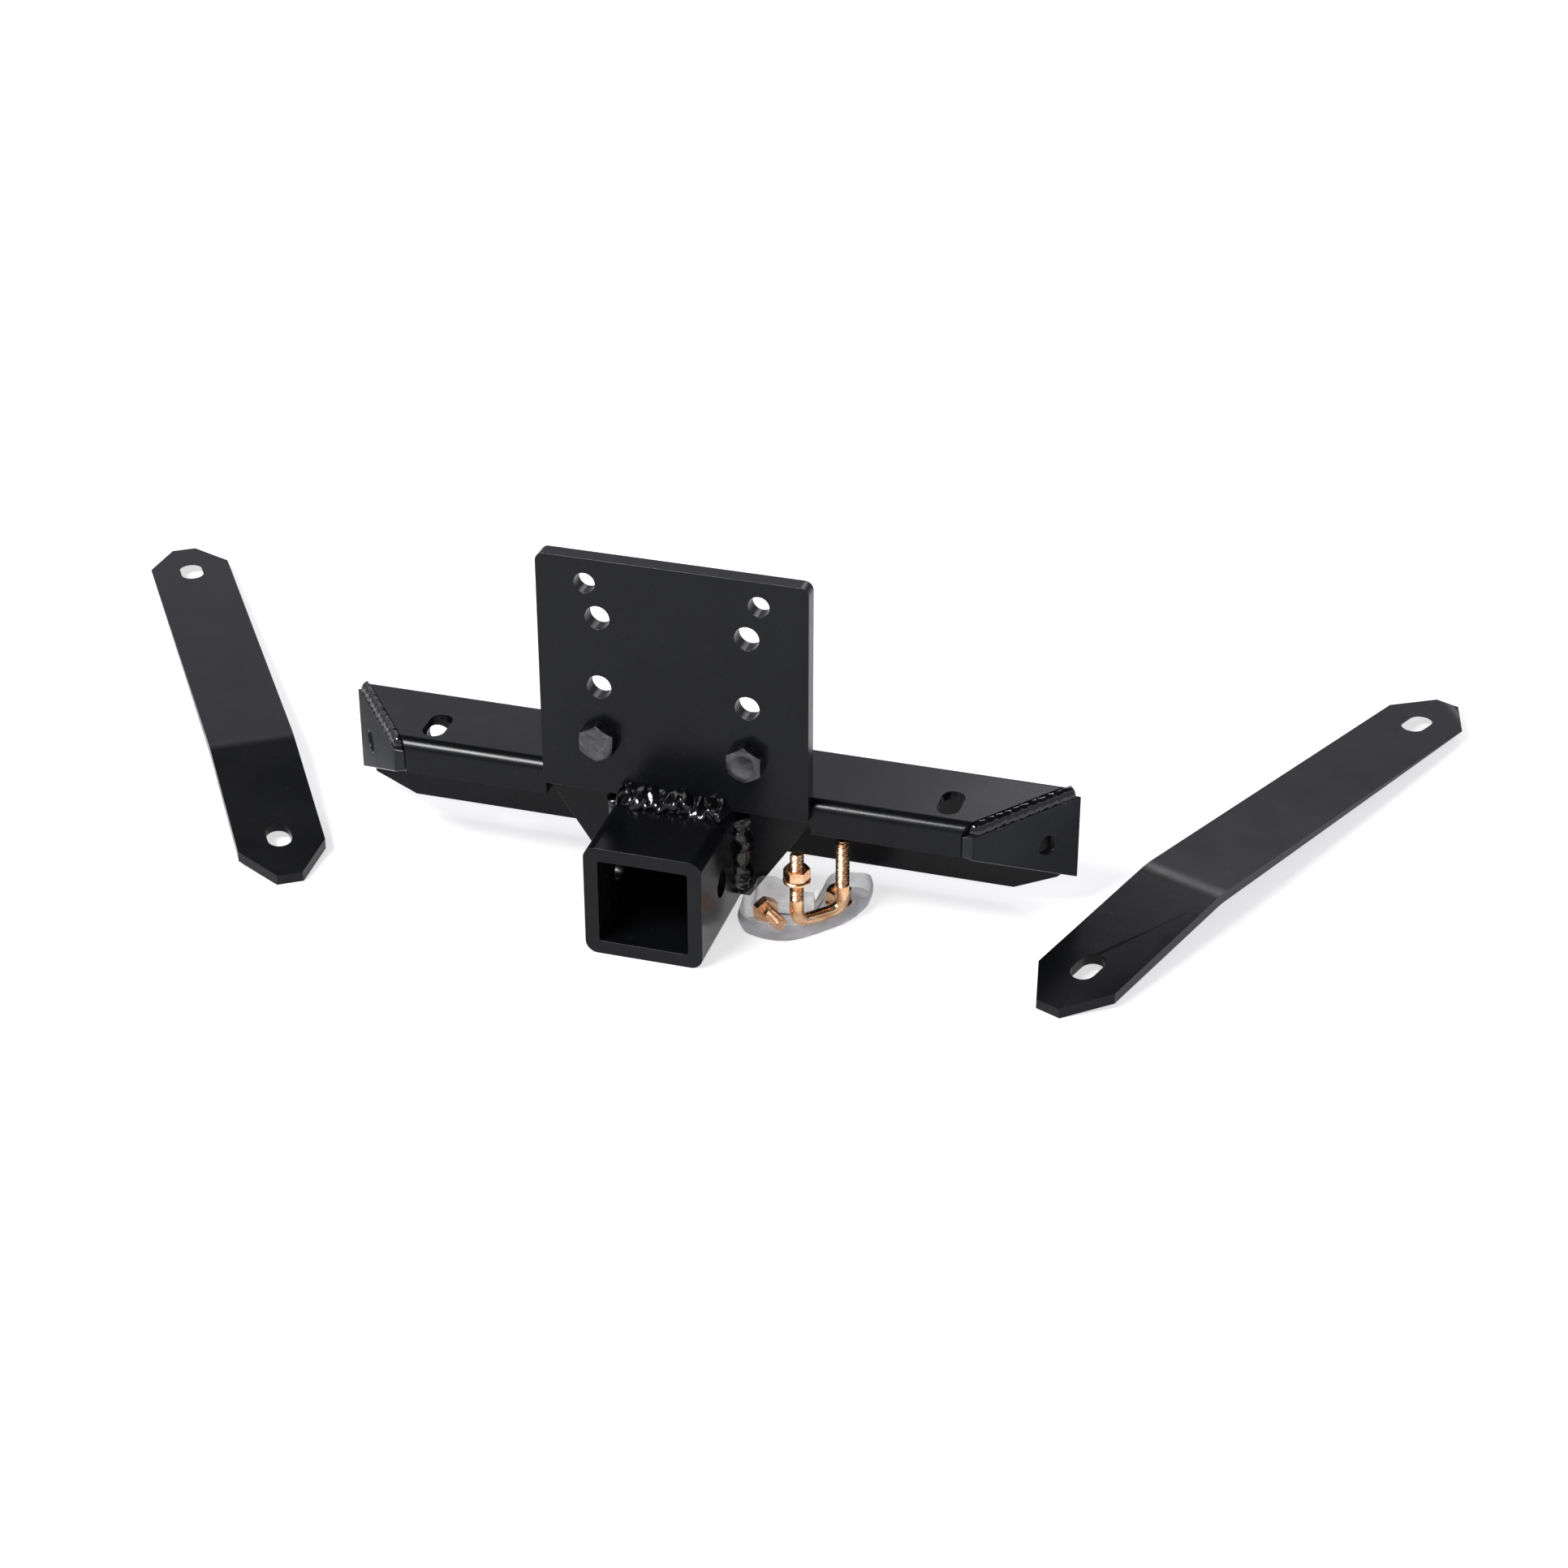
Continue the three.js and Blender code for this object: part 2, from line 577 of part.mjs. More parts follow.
const spareBolt = addMesh("spare_bolt", hexBolt(SMALL).rotateY(Math.PI / 6), yellowZinc);
spareBolt.position.set(SPARE_BOLT.x, SPARE_BOLT.y, bagFloor + SMALL.flats / 2);
spareBolt.rotation.z = SPARE_BOLT.heading - Math.PI / 2;

const spareWasherZ = bagFloor + SMALL.washerThickness / 2;
addMesh("spare_washer", smallWasher(), yellowZinc).position.set(SPARE_NUT.x, SPARE_NUT.y, spareWasherZ);
addMesh("spare_nut", smallNut(), yellowZinc)
  .position.set(SPARE_NUT.x, SPARE_NUT.y, spareWasherZ + nutAboveWasher);

export default part;
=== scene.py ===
"""Looks of a bolt-on receiver hitch kit: one welded and bolted black hitch, two loose side straps and a
clear bag of yellow-plated hardware. The scene is in metres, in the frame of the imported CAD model. The
sizes below are in millimetres, and are scaled by MM where a mesh is made."""

import json
import math
import random

import bmesh
import bpy
from mathutils import Matrix, Vector, noise

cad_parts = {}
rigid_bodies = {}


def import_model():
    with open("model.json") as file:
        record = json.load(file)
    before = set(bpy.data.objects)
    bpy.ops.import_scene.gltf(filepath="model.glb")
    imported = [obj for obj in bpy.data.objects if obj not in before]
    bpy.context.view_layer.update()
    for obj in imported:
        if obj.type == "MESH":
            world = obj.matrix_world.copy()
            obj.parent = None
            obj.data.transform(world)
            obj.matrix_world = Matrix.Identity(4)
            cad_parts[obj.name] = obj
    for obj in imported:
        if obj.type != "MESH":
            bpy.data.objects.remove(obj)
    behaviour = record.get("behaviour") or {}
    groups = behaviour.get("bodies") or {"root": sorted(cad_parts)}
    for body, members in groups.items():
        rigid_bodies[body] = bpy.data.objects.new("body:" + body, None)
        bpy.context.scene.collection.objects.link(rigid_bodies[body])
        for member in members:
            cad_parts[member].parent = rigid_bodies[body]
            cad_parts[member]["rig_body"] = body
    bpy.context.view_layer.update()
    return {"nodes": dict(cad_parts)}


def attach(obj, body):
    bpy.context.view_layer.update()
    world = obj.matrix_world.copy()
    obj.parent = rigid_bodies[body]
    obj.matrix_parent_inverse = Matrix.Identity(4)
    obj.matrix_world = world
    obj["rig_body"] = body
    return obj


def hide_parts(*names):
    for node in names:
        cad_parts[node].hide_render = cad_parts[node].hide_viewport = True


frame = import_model()
NODES = frame["nodes"]

MM = 0.001
random.seed(7)

# ---- Sizes that the CAD source also holds, in millimetres ----------------------------------------

GAP = 0.3
TUBE = 67.0
BRACKET_REAR = 19.3
MITRE_FRONT, MITRE_REAR = (167.0, 5.0), (213.5, 65.0)
END_PLATE, END_TOP, BEAM_TOP = 5.0, 70.4, 77.0

BOLT_X, BOLT_Z = 41.9, 101.6
BOLT = {"wire": 12.7, "pitch": 1.95, "flats": 19.0, "head": 8.0, "dish": 0.5, "plain": 14.0,
        "length": 44.0, "nut": 11.0}
WASHER = {"outer": 27.0, "inner": 13.6, "thickness": 2.6}

SMALL = {"wire": 7.9, "pitch": 1.41, "flats": 13.0, "head": 5.4, "dish": 0.4, "plain": 4.0,
         "length": 16.0, "nut": 6.6}
SMALL_WASHER = {"outer": 15.4, "inner": 8.5, "thickness": 1.7}
U_BOLT = {"x": 81.4, "y": 5.6, "heading": 46.0, "span": 29.0, "height": 50.0, "corner": 9.0,
          "thread_from": 20.0, "nut": 33.0}
SPARE_BOLT = {"x": 54.0, "y": -2.5, "heading": -46.0, "roll": 30.0}
SPARE_NUT = {"x": 86.2, "y": 28.0}

BAG_FLOOR = 1.2  # the hardware lies this high, on the film
BAG_OUTLINE = [(37.5, -12), (44, -19), (60, -22.5), (75, -18), (93, 0), (102, 16), (106, 36), (100, 50),
               (84, 50), (77, 40), (76.5, 8.5), (43, 8.5), (43, 0.4), (37.5, -1)]

# ---- How finely round things are divided ---------------------------------------------------------

AROUND = 48  # heads, nuts and washers
SHANK_AROUND = 24
WIRE_AROUND = 22
THREAD_STEPS = 6  # rings for each turn of a thread
PATH_STEP = 0.25  # along the U-bolt, in millimetres
PATH_CORNER_STEPS = 24
BAG_AROUND = 220
BAG_ROWS = 34

SMOOTH_BELOW = math.radians(38)  # edges sharper than this stay sharp in the shading
UP = Vector((0, 0, 1))

# ---- Materials -----------------------------------------------------------------------------------

COATING_IOR = 1.5
DUST = (0.030, 0.031, 0.034)
RUBBED_PAINT = (0.10, 0.10, 0.105)
ORANGE_PEEL = 0.00003  # bump depths, in metres
WELD_PITS = 0.0002
SCRATCHES = 0.00002
FILM_WRINKLES = 0.00012


def fill_ramp(points, stops):
    """Gives a colour ramp's points these positions and colours."""
    while len(points) < len(stops):
        points.new(0.5)
    for point, (at, colour) in zip(points, stops):
        point.position = at
        point.color = (*colour, 1)


class Material:
    """A node material round one Principled shader, with helpers for its procedural inputs."""

    def __init__(self, name, **sockets):
        self.material = bpy.data.materials.new(name)
        self.material.use_nodes = True
        self.tree = self.material.node_tree
        self.shader = self.tree.nodes["Principled BSDF"]
        for socket, value in sockets.items():
            self.shader.inputs[socket.replace("_", " ")].default_value = value
        self.place = self.node("ShaderNodeTexCoord").outputs["Object"]

    def node(self, kind, **settings):
        made = self.tree.nodes.new(kind)
        for key, value in settings.items():
            setattr(made, key, value)
        return made

    def link(self, source, target):
        self.tree.links.new(source, target)

    def noise(self, scale, detail=3.0, roughness=0.55, distortion=0.0):
        made = self.node("ShaderNodeTexNoise")
        for key, value in (("Scale", scale), ("Detail", detail), ("Roughness", roughness),
                           ("Distortion", distortion)):
            made.inputs[key].default_value = value
        self.link(self.place, made.inputs["Vector"])
        return made.outputs["Fac"]

    def ramp(self, factor, stops):
        made = self.node("ShaderNodeValToRGB")
        fill_ramp(made.color_ramp.elements, stops)
        self.link(factor, made.inputs["Fac"])
        return made.outputs["Color"]

    def remap(self, value, low, high, new_low, new_high):
        made = self.node("ShaderNodeMapRange")
        for key, number in (("From Min", low), ("From Max", high), ("To Min", new_low), ("To Max", new_high)):
            made.inputs[key].default_value = number
        self.link(value, made.inputs["Value"])
        return made.outputs["Result"]

    def mix(self, factor, first, second):
        """Mixes the colour of a link with a second, fixed colour."""
        made = self.node("ShaderNodeMix", data_type="RGBA")
        self.link(factor, made.inputs["Factor"])
        self.link(first, made.inputs[6])
        made.inputs[7].default_value = (*second, 1)
        return made.outputs[2]

    def math(self, operation, first, second):
        made = self.node("ShaderNodeMath", operation=operation)
        for socket, value in zip(made.inputs, (first, second)):
            if isinstance(value, (int, float)):
                socket.default_value = value
            else:
                self.link(value, socket)
        return made.outputs[0]

    def bump(self, height, distance):
        made = self.node("ShaderNodeBump")
        made.inputs["Distance"].default_value = distance
        made.inputs["Strength"].default_value = 1.0
        self.link(height, made.inputs["Height"])
        return made.outputs["Normal"]

    def wire(self, **sources):
        for socket, source in sources.items():
            self.link(source, self.shader.inputs[socket.replace("_", " ")])
        return self.material


def paint_material(name, tones, gloss, specular, worn=0.0):
    """Black powder coat: slow tone changes, faint dust, orange peel and, on edges, rubbed spots."""
    m = Material(name, Specular_IOR_Level=specular, IOR=COATING_IOR)
    colour = m.ramp(m.noise(11, 4), [(0.3, tones[0]), (0.72, tones[1])])
    dust = m.remap(m.noise(170, 6, 0.7), 0.6, 0.82, 0.0, 0.35)
    colour = m.mix(dust, colour, DUST)
    if worn:
        rub = m.remap(m.noise(95, 5, 0.7), 0.60, 0.70, 0.0, worn)
        colour = m.mix(rub, colour, RUBBED_PAINT)
    rough = m.remap(m.noise(38, 5), 0.3, 0.7, *gloss)
    rough = m.math("ADD", rough, m.math("MULTIPLY", dust, 0.25))
    height = m.math("ADD", m.noise(430, 2), m.math("MULTIPLY", m.noise(1500, 2), 0.35))
    return m.wire(Base_Color=colour, Roughness=rough, Normal=m.bump(height, ORANGE_PEEL))


def weld_material():
    """Paint over a weld bead: wet-looking, with a few pits."""
    m = Material("weld_paint", Specular_IOR_Level=0.5, IOR=COATING_IOR)
    colour = m.ramp(m.noise(60, 4), [(0.3, (0.0015, 0.0016, 0.002)), (0.75, (0.006, 0.006, 0.007))])
    rough = m.remap(m.noise(160, 3), 0.3, 0.7, 0.07, 0.16)
    height = m.math("ADD", m.noise(150, 2, 0.5), m.math("MULTIPLY", m.noise(700, 2), 0.08))
    return m.wire(Base_Color=colour, Roughness=rough, Normal=m.bump(height, WELD_PITS))


def steel_material(name, tones, gloss, spots):
    """Plated or blackened steel: colour that drifts, fine scratches and rubbed spots."""
    m = Material(name, Metallic=1.0)
    colour = m.ramp(m.noise(150, 4, 0.6, 0.6), list(zip((0.28, 0.5, 0.74), tones)))
    rub = m.remap(m.noise(520, 5, 0.7), 0.6, 0.75, 0.0, 0.5)
    colour = m.mix(rub, colour, spots)
    rough = m.remap(m.noise(320, 4), 0.3, 0.7, *gloss)
    return m.wire(Base_Color=colour, Roughness=rough, Normal=m.bump(m.noise(1400, 3), SCRATCHES))


def film_material():
    """Clear film: greyer and less clear where it turns away or folds over itself."""
    m = Material("clear_film", Specular_IOR_Level=0.9, IOR=COATING_IOR)
    colour = m.ramp(m.noise(55, 4, 0.6), [(0.32, (0.10, 0.10, 0.12)), (0.7, (0.36, 0.37, 0.41))])
    facing = m.node("ShaderNodeLayerWeight")
    facing.inputs["Blend"].default_value = 0.35
    fold = m.remap(m.noise(90, 3, 0.6), 0.35, 0.7, 0.0, 0.14)
    alpha = m.math("ADD", m.remap(facing.outputs["Facing"], 0.0, 1.0, 0.10, 0.70), fold)
    rough = m.remap(m.noise(210, 3), 0.3, 0.7, 0.05, 0.2)
    wrinkles = m.bump(m.noise(340, 3), FILM_WRINKLES)
    return m.wire(Base_Color=colour, Alpha=alpha, Roughness=rough, Normal=wrinkles)


PAINT = paint_material("black_paint", ((0.0028, 0.0031, 0.0038), (0.006, 0.0064, 0.0078)),
                       gloss=(0.19, 0.27), specular=0.16)
EDGE = paint_material("black_paint_edge", ((0.005, 0.0053, 0.006), (0.010, 0.0105, 0.012)),
                      gloss=(0.18, 0.27), specular=0.26, worn=0.5)
# Matt copy of the black paint for the end plates, with a lighter colour: the lighter colour is painted light,
# standing in for the light that their faces catch
MATT_PAINTED_LIGHT = paint_material("black_paint_matt_painted_light", ((0.020, 0.0205, 0.023), (0.032, 0.033, 0.036)),
                      gloss=(0.40, 0.50), specular=0.03)
WELD = weld_material()
OXIDE = steel_material("black_oxide", ((0.045, 0.046, 0.05), (0.075, 0.075, 0.08), (0.12, 0.12, 0.125)),
                       gloss=(0.24, 0.4), spots=(0.3, 0.3, 0.3))
ZINC = steel_material("yellow_zinc", ((0.62, 0.32, 0.17), (0.80, 0.48, 0.27), (0.88, 0.64, 0.44)),
                      gloss=(0.16, 0.34), spots=(0.95, 0.80, 0.68))
FILM = film_material()

# Each finish of the fasteners: its material and its slot
BLACKENED = (OXIDE, "black_oxide")
PLATED = (ZINC, "yellow_zinc")

# ---- Mesh helpers --------------------------------------------------------------------------------


def new_piece(name, bm, materials, node):
    """Makes a shown piece from a bmesh, on the body of the CAD node that it stands for."""
    bmesh.ops.recalc_face_normals(bm, faces=bm.faces)
    mesh = bpy.data.meshes.new(name)
    bm.to_mesh(mesh)
    bm.free()
    for material in materials:
        mesh.materials.append(material)
    mesh.polygons.foreach_set("use_smooth", [True] * len(mesh.polygons))
    mesh.set_sharp_from_angle(angle=SMOOTH_BELOW)
    piece = bpy.data.objects.new(name, mesh)
    bpy.context.scene.collection.objects.link(piece)
    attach(piece, NODES[node]["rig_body"])
    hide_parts(node)
    return piece


def cap(bm, ring, centre):
    """Closes a ring of vertices with a fan of triangles round a centre point."""
    middle = bm.verts.new(centre)
    for i, vertex in enumerate(ring):
        bm.faces.new((vertex, ring[(i + 1) % len(ring)], middle))


def add_rings(bm, rings, ends="capped"):
    """Joins rings of points, all of one length, into a skin. Its ends are capped, joined or open."""
    made = [[bm.verts.new(point) for point in ring] for ring in rings]
    count = len(rings[0])
    pairs = list(zip(made, made[1:]))
    if ends == "joined":
        pairs.append((made[-1], made[0]))
    for a, b in pairs:
        for i in range(count):
            j = (i + 1) % count
            bm.faces.new((a[i], a[j], b[j], b[i]))
    if ends == "capped":
        for ring in (made[0], made[-1]):
            cap(bm, ring, sum((v.co for v in ring), Vector()) / count)
    return made


def ring_points(radius, z, matrix, count=AROUND):
    """A ring of points about the matrix's Z axis. The radius and the height are each a number of
    millimetres, or a function of the turn that gives it."""
    points = []
    for i in range(count):
        turn = 2 * math.pi * i / count
        r = radius(turn) if callable(radius) else radius
        height = z(turn) if callable(z) else z
        points.append(matrix @ Vector((r * math.cos(turn) * MM, r * math.sin(turn) * MM, height * MM)))
    return points


def axes(origin, z_axis, x_axis):
    """A matrix whose Z axis is the piece's axis. The origin is in millimetres."""
    z = Vector(z_axis).normalized()
    x = Vector(x_axis).normalized()
    y = z.cross(x)
    turned = Matrix((x, y, z)).transposed().to_4x4()
    return Matrix.Translation(Vector(origin) * MM) @ turned


# ---- Painted steel -------------------------------------------------------------------------------

EDGE_SEGMENTS = 3
ROUNDED_ABOVE = math.radians(24)  # edges sharper than this are rounded
FLAT_BELOW = math.radians(0.6)
MERGE_WITHIN = 0.00002


def rounded_piece(node, width, paint):
    """A copy of a CAD node with its sharp edges rounded. The rounded strips take the edge paint."""
    bm = bmesh.new()
    bm.from_mesh(NODES[node].data)
    bmesh.ops.remove_doubles(bm, verts=bm.verts, dist=MERGE_WITHIN)
    bmesh.ops.dissolve_limit(bm, angle_limit=FLAT_BELOW, verts=bm.verts, edges=bm.edges)
    sharp = [e for e in bm.edges if len(e.link_faces) == 2 and e.calc_face_angle(0) > ROUNDED_ABOVE]
    bmesh.ops.bevel(bm, geom=sharp, offset=width * MM, offset_type="OFFSET", segments=EDGE_SEGMENTS,
                    profile=0.5, affect="EDGES", clamp_overlap=True, material=1, miter_outer="ARC")
    piece = new_piece(f"{node}_rounded", bm, [paint, EDGE], node)
    weighted = piece.modifiers.new("flat faces stay flat", "WEIGHTED_NORMAL")
    weighted.keep_sharp = True
    weighted.weight = 80


# The end plates take the matt paint whose lighter colour is painted light
for node, width, paint in (
    ("receiver_tube", 1.1, PAINT), ("hitch_plate", 1.0, PAINT), ("bracket_plate", 0.9, PAINT),
    ("cross_beam", 0.8, PAINT), ("end_plate_right", 0.8, MATT_PAINTED_LIGHT), ("end_plate_left", 0.8, MATT_PAINTED_LIGHT),
    ("strap_left", 0.8, PAINT), ("strap_right", 0.8, PAINT),
):
    rounded_piece(node, width, paint)

# ---- Weld beads ----------------------------------------------------------------------------------

TOP_BEAD_HALF = 32.4
TOP_BEAD_REACH = (14.0, 9.0)
SIDE_BEAD_Y = 9.5
SIDE_BEAD_TOP, SIDE_BEAD_BOTTOM = 62.9, 12.5
SIDE_BEAD_REACH = (8.5, 8.5)
FLANGE_BEAD_HALF = 66.8
FLANGE_BEAD_REACH = (5.0, 5.0)
END_BEAD_INSET = {"front": 0.6, "rear": 1.2}  # from the mitre's ends
BEAD_TAPER = 3.0  # length over which a bead starts and stops
BEAD_FILL = 0.93  # share of its reach that a smooth bead fills


def bead(node, start, end, out_axis, up_axis, reach, seed, ripple, lumps, wave_depth=0.15, step=0.8,
         columns=18):
    """A quarter-round weld bead from start to end, which reaches so far out and so far up. The arcs of the
    weld pool show as ripples of this length, and its size wanders by lumps."""
    start, end = Vector(start), Vector(end)
    run = (end - start).length
    along = (end - start) / run
    out, up = Vector(out_axis), Vector(up_axis)
    stations = max(8, round(run / step))
    rings = []
    for k in range(stations + 1):
        s = run * k / stations
        foot = start + along * s
        taper = math.sqrt(max(0.02, min(1.0, s / BEAD_TAPER, (run - s) / BEAD_TAPER)))
        waver = 0.25 * noise.noise(Vector((s * 0.11, seed, 3)))
        ring = []
        for i in range(columns + 1):
            share = i / columns
            turn = math.radians(90 * share)
            bow = abs(share - 0.5) * 2
            wave = (s / ripple + 0.35 * bow * bow + waver) % 1.0
            scallop = wave_depth * (1 - (2 * wave - 1) ** 2) * (1 - 0.5 * bow)
            wander = lumps * noise.noise(Vector((s * 0.16, share * 1.3 + seed, seed * 2.7)))
            grain = lumps * 0.25 * noise.noise(Vector((s * 0.30, share * 2.0, seed * 5.1)))
            size = min(1.0, BEAD_FILL - wave_depth + scallop + wander + grain) * taper
            width, height = math.cos(turn) * reach[0] * size, math.sin(turn) * reach[1] * size
            ring.append((foot + out * width + up * height) * MM)
        ring.append(foot * MM)
        rings.append(ring)
    bm = bmesh.new()
    add_rings(bm, rings)
    new_piece(f"{node}_bead", bm, [WELD], node)


bead("receiver_top_weld", (-TOP_BEAD_HALF, -GAP, TUBE + GAP), (TOP_BEAD_HALF, -GAP, TUBE + GAP),
     (0, -1, 0), UP, TOP_BEAD_REACH, seed=1, ripple=6.5, lumps=0.34, step=0.6, columns=24)
flange_y, flange_z = BRACKET_REAR + GAP, BEAM_TOP + GAP
bead("flange_weld", (-FLANGE_BEAD_HALF, flange_y, flange_z), (FLANGE_BEAD_HALF, flange_y, flange_z),
     (0, 1, 0), UP, FLANGE_BEAD_REACH, seed=14, ripple=5.0, lumps=0.25)

front, rear = Vector(MITRE_FRONT), Vector(MITRE_REAR)
run = (rear - front).normalized()
inward = Vector((-run.y, run.x))
front_end = front + run * END_BEAD_INSET["front"] + inward * END_PLATE
rear_end = rear - run * END_BEAD_INSET["rear"] + inward * END_PLATE
for side, sign in (("right", 1), ("left", -1)):
    wall = sign * (TUBE / 2 + GAP)
    bead(f"receiver_weld_{side}", (wall, SIDE_BEAD_Y, SIDE_BEAD_TOP), (wall, SIDE_BEAD_Y, SIDE_BEAD_BOTTOM),
         (0, -1, 0), (sign, 0, 0), SIDE_BEAD_REACH, seed=4 + sign, ripple=5.6, lumps=0.40, step=0.7)
    bead(f"end_weld_{side}", (sign * front_end.x, front_end.y, END_TOP + GAP),
         (sign * rear_end.x, rear_end.y, END_TOP + GAP), (sign * -inward.x, -inward.y, 0), UP,
         (END_PLATE, BEAM_TOP - END_TOP - GAP), seed=9 + sign, ripple=6.0, lumps=0.05, wave_depth=0.05,
         step=0.7)

# ---- Bolts, nuts and washers ---------------------------------------------------------------------

HEX_RIM = 0.965  # radius of a head's flat face, as a share of half its width over flats
CHAMFER_SLOPE = math.tan(math.radians(28))
HEAD_BREAK = 0.3  # small bevel round a head's underside
NUT_LEAD_LOW, NUT_LEAD_HIGH = 0.5, 0.6  # countersinks of a nut's bore
SHANK_START = -1.0  # inside the head
THREAD_DEPTH = 0.54  # as a share of the pitch
POINT_LENGTH, POINT_DEPTH = 1.1, 0.9  # of the bevel at a shank's end
LEG_POINT_LENGTH, LEG_POINT_DEPTH = 1.0, 0.8  # of the bevel at a U-bolt's leg
THREAD_RUN_IN = 2  # length over which the U-bolt's thread starts


def hexagon(flats):
    """For a hexagonal head or nut: its radius at each turn, with a corner at no turn, how far the chamfer
    of its corners falls there, and the radius of the flat face inside the chamfer."""
    rim = flats / 2 * HEX_RIM

    def edge(turn):
        return flats / 2 / math.cos(turn % (math.pi / 3) - math.pi / 6)

    def fall(turn):
        return max(0.0, edge(turn) - rim) * CHAMFER_SLOPE

    return edge, fall, rim


def hex_head(bm, matrix, size):
    """A bolt's head on the matrix's XY plane, its outer corners chamfered and its face dished."""
    edge, fall, rim = hexagon(size["flats"])
    high, dish = size["head"], size["dish"]
    profile = [(0.6, 0.0), (lambda turn: edge(turn) - HEAD_BREAK, 0.0), (edge, HEAD_BREAK),
               (edge, lambda turn: high - fall(turn)), (rim, high), (rim * 0.62, high - dish * 0.15),
               (rim * 0.5, high - dish)]
    add_rings(bm, [ring_points(radius, z, matrix) for radius, z in profile])


def thread_radius(size, position, turn):
    """The radius of a screw thread at a position along it, with flats on its crests."""
    part = (position / size["pitch"] - turn / (2 * math.pi)) % 1.0
    depth = min(1.0, max(0.0, 2.5 * abs(part - 0.5) - 0.12))
    return size["wire"] / 2 - THREAD_DEPTH * size["pitch"] * (1 - depth)


def threaded_shank(bm, matrix, size):
    """A shank along the matrix's Z axis: plain near the head, then threaded, with a bevelled end."""
    half, plain_to, high = size["wire"] / 2, size["plain"], size["length"]
    steps = max(2, round((high - plain_to) / size["pitch"] * THREAD_STEPS))

    def threaded_ring(z):
        grown = min(1.0, (z - plain_to) / size["pitch"])
        blunt = max(0.0, 1 - (high - z) / POINT_LENGTH) * POINT_DEPTH

        def radius(turn):
            full = thread_radius(size, z, turn)
            return min(full * grown + half * (1 - grown), half - blunt)

        return ring_points(radius, z, matrix, SHANK_AROUND)

    rings = [ring_points(half, z, matrix, SHANK_AROUND) for z in (SHANK_START, plain_to)]
    rings += [threaded_ring(plain_to + (high - plain_to) * k / steps) for k in range(1, steps + 1)]
    add_rings(bm, rings)


def bolt(node, origin, direction, corner, size, finish):
    """A bolt that points along direction from under its head, with a corner of its head towards corner."""
    bm = bmesh.new()
    hex_head(bm, axes(origin, -direction, corner), size)
    threaded_shank(bm, axes(origin, direction, corner), size)
    new_piece(f"{node}_threaded", bm, [finish[0]], node)


def washer(node, matrix, size, finish):
    """A flat washer centred on the matrix's origin, one face slightly rounded by the punch."""
    t, r, q = size["thickness"] / 2, size["outer"] / 2, size["inner"] / 2
    profile = [(q, -t + 0.15), (q + 0.15, -t), (r - 0.2, -t), (r, -t + 0.2), (r, t - 0.5), (r - 0.5, t),
               (q + 0.3, t), (q, t - 0.3)]
    bm = bmesh.new()
    add_rings(bm, [ring_points(radius, z, matrix) for radius, z in profile], ends="joined")
    new_piece(f"{node}_punched", bm, [finish[0]], node)


def nut(node, matrix, size, finish):
    """A nut on the matrix's XY plane, chamfered at both ends, with a plain bore that clears the shank."""
    edge, fall, rim = hexagon(size["flats"])
    bore, high = (size["wire"] + 2 * GAP) / 2, size["nut"]
    profile = [(bore + NUT_LEAD_LOW, 0.0), (rim, 0.0), (edge, fall), (edge, lambda turn: high - fall(turn)),
               (rim, high), (bore + NUT_LEAD_HIGH, high), (bore, high - NUT_LEAD_HIGH),
               (bore, NUT_LEAD_LOW)]
    bm = bmesh.new()
    add_rings(bm, [ring_points(radius, z, matrix) for radius, z in profile], ends="joined")
    new_piece(f"{node}_chamfered", bm, [finish[0]], node)


for side, sign in (("left", -1), ("right", 1)):
    at = sign * BOLT_X
    rearward = Vector((0, 1, 0))
    bolt(f"plate_bolt_{side}", (at, -GAP, BOLT_Z), rearward, UP, BOLT, BLACKENED)
    washer_y = BRACKET_REAR + GAP + WASHER["thickness"] / 2
    washer(f"plate_washer_{side}", axes((at, washer_y, BOLT_Z), rearward, UP), WASHER, BLACKENED)
    nut_y = washer_y + WASHER["thickness"] / 2 + GAP
    nut(f"plate_nut_{side}", axes((at, nut_y, BOLT_Z), rearward, UP), BOLT, BLACKENED)


def u_bolt_path():
    """Points of the U-bolt's centre line in its own plane, in millimetres: across and up."""
    r, bottom, corner = U_BOLT["span"] / 2, BAG_FLOOR + SMALL["wire"] / 2, U_BOLT["corner"]
    top = U_BOLT["height"]
    points = []

    def line(a, b):
        count = max(2, round(math.dist(a, b) / PATH_STEP))
        for k in range(count):
            points.append((a[0] + (b[0] - a[0]) * k / count, a[1] + (b[1] - a[1]) * k / count))

    def curve(a, b, c):
        for k in range(PATH_CORNER_STEPS):
            t = k / PATH_CORNER_STEPS
            points.append(tuple((1 - t) ** 2 * a[i] + 2 * t * (1 - t) * b[i] + t * t * c[i]
                                for i in range(2)))

    line((-r, top), (-r, bottom + corner))
    curve((-r, bottom + corner), (-r, bottom), (-r + corner, bottom))
    line((-r + corner, bottom), (r - corner, bottom))
    curve((r - corner, bottom), (r, bottom), (r, bottom + corner))
    line((r, bottom + corner), (r, top))
    points.append((r, top))
    return points


